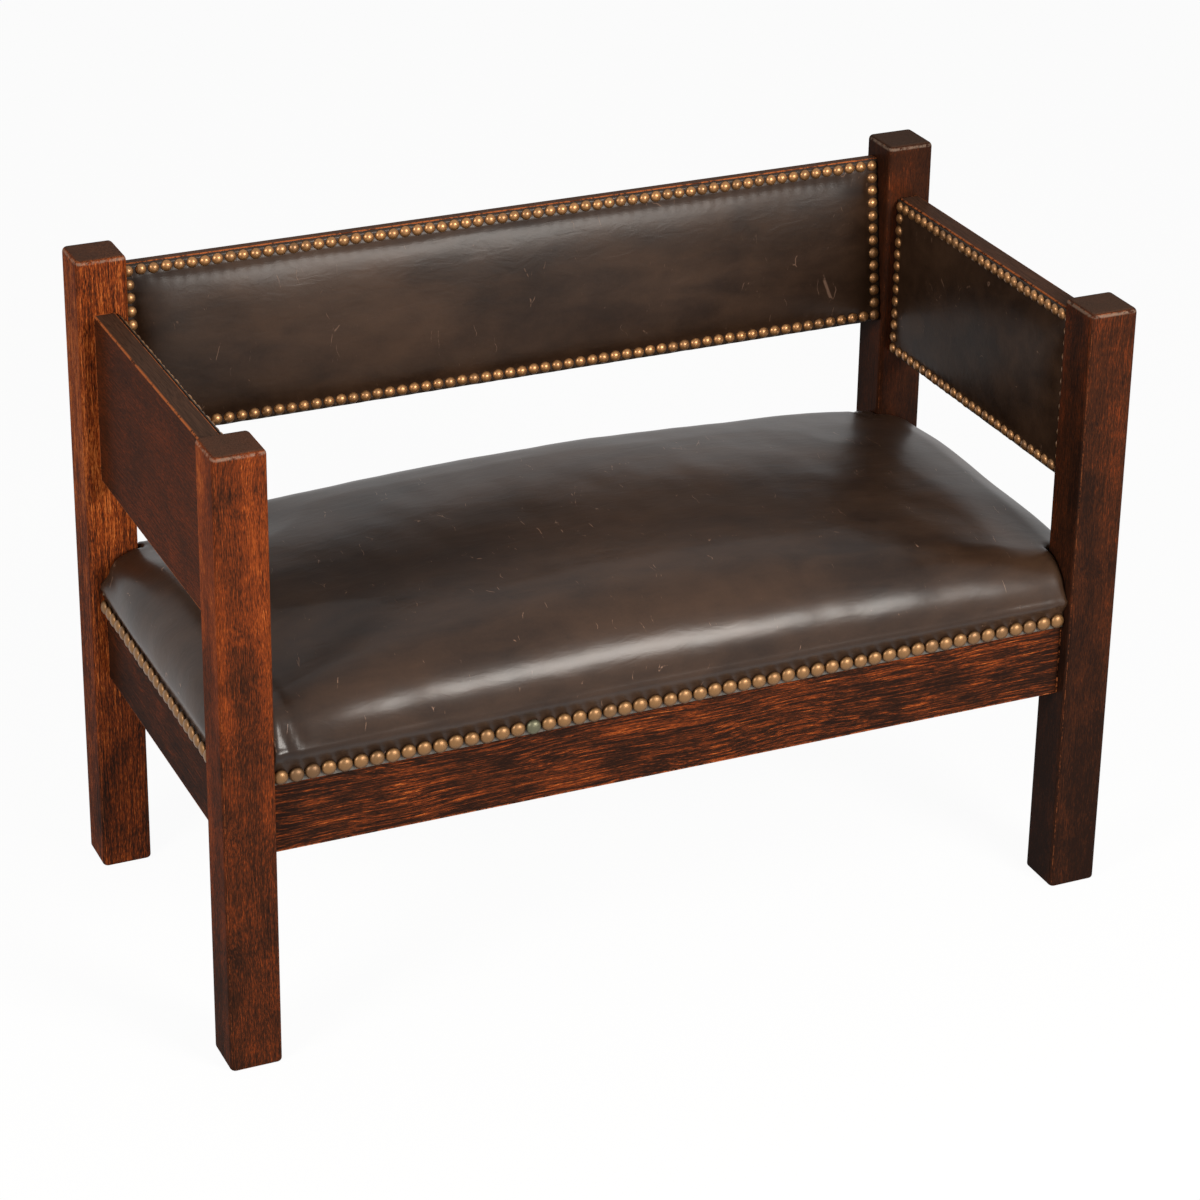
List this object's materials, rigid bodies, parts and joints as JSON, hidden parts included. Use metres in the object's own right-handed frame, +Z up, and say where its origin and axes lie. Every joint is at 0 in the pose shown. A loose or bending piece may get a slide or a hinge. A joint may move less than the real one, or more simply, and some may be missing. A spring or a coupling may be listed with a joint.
{
  "type": "settle",
  "caption": "Oak settle with square posts, a leaning back board and arm boards faced in nailed leather, and a sprung, crowned leather seat over deep rails.",
  "frame": {"origin": "on the floor, under the middle of the overall length and depth", "axes": "+X along the length, to the right as seen from the front; +Y towards the back; +Z up"},
  "size_m": [1.2, 0.59, 0.858],
  "materials": {
    "oak": "fumed quarter-sawn oak, waxed, worn at its edges",
    "oak_board": "fumed oak board, smooth and dark",
    "seat_leather": "dark brown aged hide, satin",
    "panel_leather": "dark brown aged hide, satin",
    "small_nail_brass": "domed, coppery brass, rubbed bright",
    "large_nail_brass": "low dome, dull antique brass",
    "pad_felt": "cotton wadding",
    "stuffing": "hair and tow under wadding",
    "hessian": "plain-woven hessian",
    "webbing": "jute webbing",
    "dust_cloth": "black cambric",
    "spring_steel": "drawn steel wire",
    "tack_steel": "blued steel",
    "block_wood": "raw maple"
  },
  "bodies": {
    "root": {"front_left_post": "oak", "front_right_post": "oak", "back_left_post": "oak", "back_right_post": "oak", "front_seat_rail": "oak", "back_seat_rail": "oak", "left_seat_rail": "oak", "right_seat_rail": "oak", "left_arm_board": "oak_board", "right_arm_board": "oak_board", "back_board": "oak_board", "seat_leather": "seat_leather", "back_leather": "panel_leather", "left_arm_leather": "panel_leather", "right_arm_leather": "panel_leather", "back_nails": "small_nail_brass", "left_arm_nails": "small_nail_brass", "right_arm_nails": "small_nail_brass", "front_rail_nails": "large_nail_brass", "back_rail_nails": "large_nail_brass", "left_rail_nails": "large_nail_brass", "right_rail_nails": "large_nail_brass", "back_pad": "pad_felt", "left_arm_pad": "pad_felt", "right_arm_pad": "pad_felt", "seat_stuffing": "stuffing", "spring_hessian": "hessian", "lengthwise_webbing": "webbing", "crosswise_webbing": "webbing", "dust_cover": "dust_cloth", "seat_springs": "spring_steel", "webbing_tacks": "tack_steel", "dust_cover_tacks": "tack_steel", "corner_block_screws": "tack_steel", "corner_blocks": "block_wood"}
  },
  "joints": []
}
